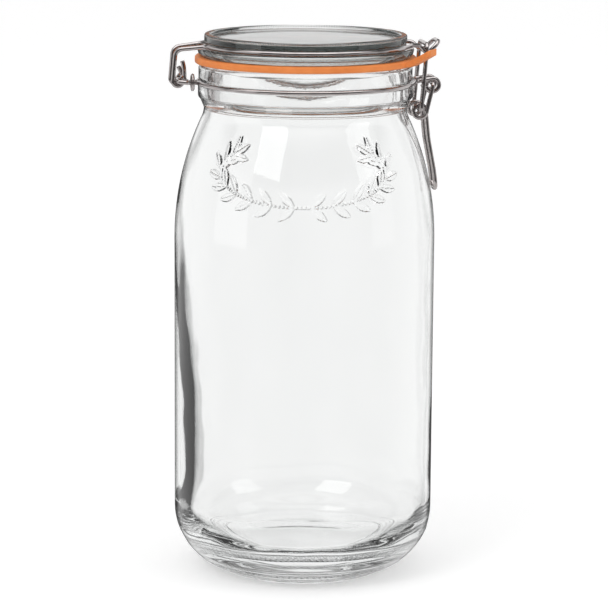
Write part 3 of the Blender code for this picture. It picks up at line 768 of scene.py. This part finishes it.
def make_seal(finish):
    piece = turned("seal_ring", seal_outline(), SEAL_COLUMNS)
    draw_tab(piece)
    round_edges(piece, TAB_EDGE_ROUND, SMOOTH_ANGLE)
    bpy.ops.transform.rotate(value=-TAB_DIRECTION, orient_axis="Z", center_override=(0, 0, 0))
    finish_piece(piece, "rubber_seal", "lid", finish)


def bent(corners):
    """Points along a wire, from its corners, each a place and the radius that it is bent to."""
    points = [corners[0][0]]
    for (before, bend_before), (corner, bend), (after, bend_after) in zip(corners, corners[1:], corners[2:]):
        arriving = corner - before
        leaving = after - corner
        turn = arriving.angle(leaving)
        if not bend or turn < RING_STEP / 2:
            points.append(corner)
            continue
        room_before = arriving.length / (2 if bend_before else 1)
        room_after = leaving.length / (2 if bend_after else 1)
        reach = min(bend * math.tan(turn / 2), room_before, room_after)
        axis = arriving.cross(leaving).normalized()
        start = corner - arriving.normalized() * reach
        centre = start + axis.cross(arriving).normalized() * reach / math.tan(turn / 2)
        steps = math.ceil(turn / BEND_STEP)
        turns = [Quaternion(axis, turn * step / steps) for step in range(steps + 1)]
        points += [centre + spin @ (start - centre) for spin in turns]
    return points + [corners[-1][0]]


def wire(name, points, radius=WIRE_RADIUS, closed=False):
    """A round wire along points, drawn as a curve and made a mesh, with its cut ends rounded."""
    bpy.ops.object.select_all(action="DESELECT")
    bpy.ops.curve.primitive_nurbs_path_add(location=(0, 0, 0))
    piece = bpy.context.object
    piece.name = name
    curve = piece.data
    curve.splines.clear()
    curve.bevel_depth = radius
    curve.bevel_resolution = WIRE_SIDES
    curve.use_fill_caps = True
    spline = curve.splines.new("POLY")
    spline.points.add(len(points) - 1)
    for target, place in zip(spline.points, points):
        target.co = (*place, 1)
    spline.use_cyclic_u = closed
    bpy.ops.object.convert(target="MESH")
    piece = bpy.context.object
    start_editing(piece)
    bpy.ops.mesh.select_all(action="SELECT")
    bpy.ops.mesh.remove_doubles(threshold=WELD_DISTANCE)
    bpy.ops.mesh.normals_make_consistent(inside=False)
    stop_editing()
    if not closed:
        round_edges(piece, WIRE_END_ROUND, math.pi / 3)
    return piece


def at_side(place, side):
    return Vector((place.x, side, place.z))


def mirrored(corners):
    return [(at_side(place, -place.y), bend) for place, bend in corners]


def both_sides(corners):
    """Corners of one half of a wire, and then those of its mirror image, run backwards."""
    return corners + mirrored(corners)[::-1]


def loop(centre, radius, start, sweep, side, end_side):
    """Corners of a loop bent round an axis along Y, which may drift sideways along that axis."""
    count = math.ceil(abs(sweep) / BEND_STEP)
    corners = []
    for index in range(count + 1):
        share = index / count
        angle = start + sweep * share
        offset = Vector((radius * math.cos(angle), 0, radius * math.sin(angle)))
        corners.append((at_side(centre + offset, side + (end_side - side) * share), 0))
    return corners


def ring(radius, height, start, end):
    """Corners of a wire round the glass, from a large angle to a small one."""
    indices = range(round(start / RING_STEP), round(end / RING_STEP) - 1, -1)
    angles = [index * RING_STEP for index in indices]
    return [(Vector((radius * math.cos(a), radius * math.sin(a), height)), 0) for a in angles]


def off_ring(radius, height, angle, side):
    """Where a straight wire that leaves such a ring at an angle comes within a distance of the XZ plane."""
    angle = round(angle / RING_STEP) * RING_STEP
    run_out = (radius * math.sin(angle) - side) / math.cos(angle)
    return Vector((radius * math.cos(angle) + run_out * math.sin(angle), side, height))


def bar_place(turn):
    """Where the link's top bar is when the lever has turned by an angle and the link by its share of it."""
    lever = Quaternion((0, -1, 0), turn)
    link = Quaternion((0, -1, 0), turn * (1 + LINK_TURN_RATIO))
    return PIVOT + lever @ (LINK_PIVOT - PIVOT) + link @ LINK_RISE


def tongue():
    """Corners of one side of the bail's tongue, with a trough under the link's bar at its lowest."""
    places = [bar_place(LEVER_TRAVEL * index / TRAVEL_STEPS) for index in range(TRAVEL_STEPS + 1)]
    bar = min(places, key=lambda place: place.z)
    shoulder = Vector((bar.x - TROUGH_REACH, 0, BAIL_HEIGHT))
    trough = Vector((bar.x, 0, bar.z - WIRE_PITCH))
    tip = Vector((bar.x + TIP_REACH, 0, BAIL_HEIGHT + TIP_RISE))
    turn = (trough - shoulder).angle(tip - trough)
    trough.z -= TROUGH_BEND * (1 / math.cos(turn / 2) - 1)
    return [
        (at_side(shoulder, TONGUE_HALF_WIDTH + TONGUE_FLARE), TROUGH_BEND),
        (at_side(trough, TONGUE_HALF_WIDTH), TROUGH_BEND),
        (at_side(tip, TONGUE_HALF_WIDTH), TIP_BEND),
    ]


def bail_points():
    """The bail: a hook round the hinge bar, a leg, half the circle, the tongue, and their mirror image."""
    side = HOOK_HALF_SPAN
    corners = loop(HINGE, WIRE_PITCH, HOOK_WRAP - math.pi, -HOOK_WRAP, side, side)
    leg_top = Vector((HINGE.x - WIRE_PITCH + LEG_LEAN, side, BAIL_HEIGHT - LEG_TOP_DROP))
    entry = off_ring(BAIL_RING_RADIUS, BAIL_HEIGHT, ENTRY_ANGLE, ENTRY_HALF_SPAN)
    leaving = off_ring(BAIL_RING_RADIUS, BAIL_HEIGHT, EXIT_ANGLE, EXIT_HALF_SPAN)
    corners += [(leg_top, LEG_BEND), (entry, ENTRY_BEND)]
    corners += ring(BAIL_RING_RADIUS, BAIL_HEIGHT, ENTRY_ANGLE, EXIT_ANGLE)
    corners += [(leaving, EXIT_BEND)] + tongue()
    return bent(both_sides(corners))


def tail(side):
    """Corners of one strand of the twisted tail, from its tip down. The rear strand is cut shorter."""
    length = TAIL_LENGTH - (TAIL_STEP if side > 0 else 0)
    count = math.ceil(math.tau * length / TAIL_LEAD / BEND_STEP)
    base = HINGE + Vector((TAIL_INSET, 0, TIGHT_BEND))
    corners = []
    for index in range(count, 0, -1):
        rise = length * index / count
        angle = math.pi / 2 * side + math.tau * rise / TAIL_LEAD
        strand = Vector((math.cos(angle), math.sin(angle), 0)) * PAIR_HALF_SPAN
        lean = Vector((-TAIL_LEAN * rise / TAIL_LENGTH, 0, rise))
        corners.append((base + strand + lean, 0))
    return corners


def neck_wire_points(side):
    """Half of the neck's wiring, at the rear for side 1 and in front for -1, from its tail to its eye."""
    arm_end = Vector((-NECK_RING_RADIUS - ARM_SPREAD_REACH, PAIR_HALF_SPAN, NECK_WIRE_HEIGHT))
    bar_end = at_side(HINGE, HINGE_HALF_WIDTH)
    corners = [
        (at_side(HINGE + Vector((TAIL_INSET, 0, 0)), PAIR_HALF_SPAN), TIGHT_BEND),
        (at_side(HINGE, PAIR_HALF_SPAN), TIGHT_BEND),
        (bar_end, TIGHT_BEND),
        (bar_end + Vector((HINGE_SIDE_DEPTH, 0, -HINGE_SIDE_DROP)), TIGHT_BEND),
        (arm_end, TIGHT_BEND),
        (off_ring(NECK_RING_RADIUS, NECK_WIRE_HEIGHT, NECK_ENTRY_ANGLE, PAIR_HALF_SPAN), TIGHT_BEND),
    ]
    corners += ring(NECK_RING_RADIUS, NECK_WIRE_HEIGHT, NECK_ENTRY_ANGLE, NECK_EXIT_ANGLE)
    leaving = off_ring(NECK_RING_RADIUS, NECK_WIRE_HEIGHT, NECK_EXIT_ANGLE, HANDLE_HALF_WIDTH)
    corners.append((leaving, NECK_EXIT_BEND))
    eye_side = HANDLE_HALF_WIDTH
    corners += loop(EYE_CENTRE, EYE_RADIUS, math.pi / 2, -EYE_WRAP, eye_side, eye_side)
    return bent(tail(side) + (corners if side > 0 else mirrored(corners)))


def collar_points():
    """A round ring, upright across the two arms that run from the neck to the hinge."""
    radius = PAIR_HALF_SPAN + WIRE_RADIUS + CLEARANCE + COLLAR_WIRE_RADIUS
    centre = Vector((-NECK_RING_RADIUS - COLLAR_REACH, 0, NECK_WIRE_HEIGHT))
    count = math.ceil(math.tau / BEND_STEP)
    angles = [math.tau * index / count for index in range(count)]
    return [centre + Vector((0, math.cos(a), math.sin(a))) * radius for a in angles]


def shoulder_place(drop, standoff, side):
    """A place that stands off the jar's shoulder, at a drop below the lever's coils."""
    height = COIL_CENTRE.z - drop
    return Vector((jar_radius(height) + standoff, side, height))


def lever_points():
    """The lever: a pivot pin, a coil and one side of the handle, and their mirror image."""
    side = HANDLE_HALF_WIDTH
    corners = [(at_side(PIVOT, PIN_END), 0), (at_side(PIVOT, LEVER_HALF_WIDTH), TIGHT_BEND)]
    corners += loop(COIL_CENTRE, COIL_RADIUS, 0, -math.tau, LEVER_HALF_WIDTH, side)
    corners += [
        (shoulder_place(UPPER_KNEE_DROP, UPPER_KNEE_STANDOFF, side), KNEE_BEND),
        (shoulder_place(LOWER_KNEE_DROP, LOWER_KNEE_STANDOFF, side), KNEE_BEND),
        (shoulder_place(HANDLE_LENGTH, HANDLE_TIP_STANDOFF, side), HANDLE_TIP_BEND),
    ]
    return bent(both_sides(corners))


def link_points():
    """The link: a pin, one side and half the top bar, and their mirror image."""
    bar = LINK_PIVOT + LINK_RISE
    corners = [
        (at_side(LINK_PIVOT, PIN_END), 0),
        (at_side(LINK_PIVOT, LINK_HALF_WIDTH), TIGHT_BEND),
        (at_side(bar, LINK_HALF_WIDTH), LINK_BEND),
    ]
    return bent(both_sides(corners))


def make_wires(finish):
    routes = (
        ("bail_wire", bail_points(), "lid_bail", "lid"),
        ("front_neck_wire", neck_wire_points(-1), "neck_wire_front", "root"),
        ("rear_neck_wire", neck_wire_points(1), "neck_wire_rear", "root"),
        ("lever_wire", lever_points(), "latch_lever", "lever"),
        ("link_wire", link_points(), "latch_link", "link"),
    )
    for name, points, node, body in routes:
        finish_piece(wire(name, points), node, body, finish)
    collar = wire("collar_ring", collar_points(), COLLAR_WIRE_RADIUS, closed=True)
    finish_piece(collar, "hinge_collar", "root", finish)


def feed(tree, socket, value):
    """Sets a socket to a number or colour, or links it to the socket that it is given."""
    if isinstance(value, bpy.types.NodeSocket):
        tree.links.new(value, socket)
    else:
        socket.default_value = value


def new_node(tree, kind, **inputs):
    """A new node, with its inputs fed by name. Underscores stand for the spaces in a name."""
    made = tree.nodes.new(kind)
    for name, value in inputs.items():
        feed(tree, made.inputs[name.replace("_", " ")], value)
    return made


def new_material(name):
    made = bpy.data.materials.new(name)
    made.use_nodes = True
    return made, made.node_tree, made.node_tree.nodes["Principled BSDF"].inputs


def object_noise(tree, scale, detail=2, stretch=(1, 1, 1)):
    """A noise that is fixed to the piece, with a scale in cycles per metre."""
    place = new_node(tree, "ShaderNodeTexCoord").outputs["Object"]
    stretched = new_node(tree, "ShaderNodeMapping", Vector=place, Scale=stretch).outputs["Vector"]
    return new_node(tree, "ShaderNodeTexNoise", Vector=stretched, Scale=scale, Detail=detail).outputs["Fac"]


def mapped(tree, value, span, levels):
    """A value that goes evenly from one level to another while its source crosses a span."""
    made = new_node(tree, "ShaderNodeMapRange", Value=value, From_Min=span[0], From_Max=span[1])
    made.inputs["To Min"].default_value, made.inputs["To Max"].default_value = levels
    return made


def ranged(tree, noise, levels):
    """A value that follows a noise between two levels."""
    return mapped(tree, noise, NOISE_SPAN, levels).outputs["Result"]


def slope(tree, value, span, levels):
    """A value that goes smoothly from one level to another between two places."""
    made = mapped(tree, value, span, levels)
    made.interpolation_type = "SMOOTHSTEP"
    return made.outputs["Result"]


def tinted(tree, noise, tints):
    """A colour that follows a noise between two tints."""
    made = new_node(tree, "ShaderNodeValToRGB", Fac=noise)
    for stop, position, tint in zip(made.color_ramp.elements, NOISE_SPAN, tints):
        stop.position = position
        stop.color = (*tint, 1)
    return made.outputs["Color"]


def bumped(tree, noise, depth, strength, under=None):
    """A bump of a depth in metres, on top of another one if there is one."""
    made = new_node(tree, "ShaderNodeBump", Height=noise, Distance=depth, Strength=strength)
    if under:
        tree.links.new(under, made.inputs["Normal"])
    return made.outputs["Normal"]


def calculated(tree, operation, *values):
    """A Math node, fed by sockets or numbers."""
    made = new_node(tree, "ShaderNodeMath")
    made.operation = operation
    for socket, value in zip(made.inputs, values):
        feed(tree, socket, value)
    return made.outputs["Value"]


def mixed_shaders(tree, share, first, second):
    made = new_node(tree, "ShaderNodeMixShader", Fac=share)
    tree.links.new(first, made.inputs[1])
    tree.links.new(second, made.inputs[2])
    return made.outputs["Shader"]


def clear_glass(name, grain_depth, tint_density):
    """Clear soda glass, a little grey in its depth, with a painted dark outline where its surface is seen
    edge-on, and slow waves on its skin.
    """
    made, tree, shader = new_material(name)
    waves = object_noise(tree, GLASS_WAVE_SCALE, stretch=GLASS_WAVE_STRETCH)
    grain = object_noise(tree, GLASS_GRAIN_SCALE)
    # Painted shade: the base colour goes dark grey where the surface is seen edge-on, drawing a dark outline
    # along silhouettes and ridges
    edge = slope(tree, new_node(tree, "ShaderNodeLayerWeight").outputs["Facing"], GLASS_PAINTED_OUTLINE_SPAN, (0, 1))
    body = tinted(tree, waves, GLASS_TINTS)
    colour = new_node(tree, "ShaderNodeMixRGB", Fac=edge, Color1=body, Color2=GLASS_PAINTED_OUTLINE_COLOUR)
    slow = bumped(tree, waves, *GLASS_WAVE_BUMP)
    feed(tree, shader["IOR"], GLASS_IOR)
    feed(tree, shader["Transmission Weight"], 1)
    feed(tree, shader["Base Color"], colour.outputs["Color"])
    feed(tree, shader["Roughness"], ranged(tree, grain, GLASS_ROUGHNESS))
    feed(tree, shader["Normal"], bumped(tree, grain, grain_depth, GLASS_GRAIN_STRENGTH, slow))
    depth = new_node(tree, "ShaderNodeVolumeAbsorption", Color=GLASS_DEPTH_COLOUR, Density=tint_density)
    tree.links.new(depth.outputs["Volume"], tree.nodes["Material Output"].inputs["Volume"])
    return made


def orange_rubber(name):
    """Matt moulded rubber, dusty in patches, with a fine skin."""
    made, tree, shader = new_material(name)
    patches = object_noise(tree, RUBBER_PATCH_SCALE, RUBBER_PATCH_DETAIL)
    skin = object_noise(tree, RUBBER_SKIN_SCALE, RUBBER_SKIN_DETAIL)
    slow = bumped(tree, patches, *RUBBER_PATCH_BUMP)
    feed(tree, shader["Base Color"], tinted(tree, patches, RUBBER_TINTS))
    feed(tree, shader["Roughness"], ranged(tree, patches, RUBBER_ROUGHNESS))
    feed(tree, shader["Normal"], bumped(tree, skin, *RUBBER_SKIN_BUMP, slow))
    feed(tree, shader["Subsurface Weight"], RUBBER_SOFTNESS)
    feed(tree, shader["Subsurface Scale"], RUBBER_SOFT_DEPTH)
    return made


def steel_wire(name):
    """Drawn stainless wire, a little brown, with fine draw marks and a few duller patches."""
    made, tree, shader = new_material(name)
    patches = object_noise(tree, STEEL_PATCH_SCALE, STEEL_PATCH_DETAIL)
    marks = object_noise(tree, STEEL_MARK_SCALE, stretch=STEEL_MARK_STRETCH)
    slow = bumped(tree, patches, *STEEL_PATCH_BUMP)
    feed(tree, shader["Metallic"], 1)
    feed(tree, shader["Base Color"], tinted(tree, patches, STEEL_TINTS))
    feed(tree, shader["Roughness"], ranged(tree, patches, STEEL_ROUGHNESS))
    feed(tree, shader["Normal"], bumped(tree, marks, *STEEL_MARK_BUMP, slow))
    return made


def make_floor():
    """A pale floor, white to the camera, that keeps the jar's soft shadow. Glass and metal see past it."""
    bpy.ops.object.select_all(action="DESELECT")
    bpy.ops.mesh.primitive_plane_add(size=FLOOR_SIZE, location=(0, 0, 0))
    floor = bpy.context.object
    floor.name = "studio_floor"
    made, tree, shader = new_material("pale_floor")
    feed(tree, shader["Base Color"], FLOOR_COLOUR)
    feed(tree, shader["Roughness"], FLOOR_ROUGHNESS)
    feed(tree, shader["Specular IOR Level"], FLOOR_GLOSS)
    plain = tree.nodes["Principled BSDF"].outputs["BSDF"]
    lift = new_node(tree, "ShaderNodeEmission", Strength=FLOOR_GLOW).outputs["Emission"]
    bright = new_node(tree, "ShaderNodeAddShader")
    tree.links.new(plain, bright.inputs[0])
    tree.links.new(lift, bright.inputs[1])
    rays = new_node(tree, "ShaderNodeLightPath").outputs
    seen = mixed_shaders(tree, rays["Is Camera Ray"], plain, bright.outputs["Shader"])
    passing = calculated(tree, "MAXIMUM", rays["Is Glossy Ray"], rays["Is Transmission Ray"])
    clear = new_node(tree, "ShaderNodeBsdfTransparent").outputs["BSDF"]
    surface = mixed_shaders(tree, passing, seen, clear)
    tree.links.new(surface, tree.nodes["Material Output"].inputs["Surface"])
    floor.data.materials.append(made)


def flag(tree, turn, ends, level):
    """1 away from an upright flag, and another level on it, with soft edges."""
    start, end = ends
    entering = slope(tree, turn, (start, start + FLAG_SOFTNESS), (0, 1))
    leaving = slope(tree, turn, (end - FLAG_SOFTNESS, end), (1, 0))
    on_flag = calculated(tree, "MULTIPLY", entering, leaving)
    return calculated(tree, "MULTIPLY_ADD", on_flag, level - 1, 1)


def studio_direction(tree):
    """A direction in the studio: how far it turns from straight behind the jar, and the sine of its rise."""
    direction = new_node(tree, "ShaderNodeTexCoord").outputs["Generated"]
    parts = new_node(tree, "ShaderNodeSeparateXYZ", Vector=direction).outputs
    turn = calculated(tree, "ARCTAN2", parts["Y"], parts["X"])
    behind = calculated(tree, "SUBTRACT", turn, math.pi / 2 + CAMERA_AZIMUTH)
    return calculated(tree, "WRAP", behind, math.pi, -math.pi), parts["Z"]


def backdrop_level(tree, behind, rise):
    """How bright the studio is through glass: a pale backdrop all round, one soft flag and a dark ceiling."""
    level = flag(tree, behind, LEFT_FLAG, FLAG_LEVEL)
    ceiling = slope(tree, rise, CEILING_RISE, (BACKDROP_LEVEL, CEILING_LEVEL))
    level = calculated(tree, "MULTIPLY", level, ceiling)
    overhead = slope(tree, rise, SKYLIGHT_RISE, (0, SKYLIGHT_LEVEL))
    return calculated(tree, "MAXIMUM", level, overhead)


def reflected_level(tree, behind, rise):
    """How bright the studio is in a reflection: dark in front, with light strips and a top light."""
    turn = calculated(tree, "ABSOLUTE", behind)
    level = slope(tree, turn, FRONT_TURN, (1, FRONT_LEVEL))
    level = calculated(tree, "MULTIPLY", level, slope(tree, rise, CEILING_RISE, (1, CEILING_LEVEL)))
    card = slope(tree, turn, OUTLINE_CARD_TURN, (OUTLINE_CARD_LEVEL, 1))
    above_card = slope(tree, rise, OUTLINE_CARD_RISE, (0, 1))
    level = calculated(tree, "MULTIPLY", level, calculated(tree, "MAXIMUM", card, above_card))
    for ends, strength in STRIPS:
        strip = calculated(tree, "SUBTRACT", 1, flag(tree, behind, ends, 0))
        low = slope(tree, rise, STRIP_FOOT_RISE, (0, strength))
        high = slope(tree, rise, STRIP_TOP_RISE, (1, 0))
        strip = calculated(tree, "MULTIPLY", strip, calculated(tree, "MULTIPLY", low, high))
        level = calculated(tree, "MAXIMUM", level, strip)
    level = calculated(tree, "MAXIMUM", level, slope(tree, rise, TABLE_RISE, (TABLE_LEVEL, 0)))
    towards_camera = slope(tree, turn, TOP_LIGHT_TURN, (0, TOP_LIGHT_REACH))
    nearer = calculated(tree, "ADD", rise, towards_camera)
    return calculated(tree, "MAXIMUM", level, slope(tree, nearer, TOP_LIGHT_RISE, (0, TOP_LIGHT_LEVEL)))


def background(tree, level):
    return new_node(tree, "ShaderNodeBackground", Color=WHITE, Strength=level).outputs["Background"]


def make_world():
    """White to the camera and soft on the object. Glass sees the backdrop, and reflections the lit studio.

    A ray that comes through glass counts as glossy too, so its own level is mixed in after the glossy one.
    """
    world = bpy.data.worlds.new("studio")
    bpy.context.scene.world = world
    world.use_nodes = True
    tree = world.node_tree
    tree.nodes.clear()
    rays = new_node(tree, "ShaderNodeLightPath").outputs
    behind, rise = studio_direction(tree)
    shown = background(tree, SOFT_LEVEL)
    levels = (
        ("Is Glossy Ray", reflected_level(tree, behind, rise)),
        ("Is Transmission Ray", backdrop_level(tree, behind, rise)),
        ("Is Camera Ray", 1),
    )
    for ray, level in levels:
        shown = mixed_shaders(tree, rays[ray], shown, background(tree, level))
    new_node(tree, "ShaderNodeOutputWorld", Surface=shown)


def make_lamp(name, place, size, energy):
    bpy.ops.object.light_add(type="AREA", location=place)
    lamp = bpy.context.object
    lamp.name = name
    lamp.data.size = size
    lamp.data.energy = energy
    lamp.visible_glossy = False
    aim = Vector((0, 0, JAR_HEIGHT / 2)) - Vector(place)
    lamp.rotation_euler = aim.to_track_quat("-Z", "Y").to_euler()


def make_camera():
    bpy.ops.object.camera_add(location=CAMERA_PLACE)
    camera = bpy.context.object
    camera.data.sensor_width = SENSOR_WIDTH
    camera.data.lens = FOCAL_PIXELS / IMAGE_WIDTH * SENSOR_WIDTH
    turn = Matrix.Rotation(CAMERA_AZIMUTH, 3, "Z")
    pitch = Matrix.Rotation(math.pi / 2 - CAMERA_PITCH, 3, "X")
    roll = Matrix.Rotation(CAMERA_ROLL, 3, "Z")
    camera.rotation_euler = (turn @ pitch @ roll).to_euler()
    bpy.context.scene.camera = camera


def make_studio():
    make_floor()
    make_world()
    make_lamp("key_lamp", *KEY_LAMP)
    make_lamp("fill_lamp", *FILL_LAMP)
    make_camera()
    scene = bpy.context.scene
    scene.view_settings.view_transform = "Standard"
    scene.cycles.glossy_bounces = GLASS_BOUNCES
    scene.cycles.max_bounces = GLASS_BOUNCES * 2


make_jar(clear_glass("jar_glass", JAR_GRAIN_DEPTH, JAR_TINT_DENSITY))
make_lid(clear_glass("lid_glass", LID_GRAIN_DEPTH, LID_TINT_DENSITY))
make_seal(orange_rubber("seal_rubber"))
make_wires(steel_wire("spring_wire"))
make_studio()
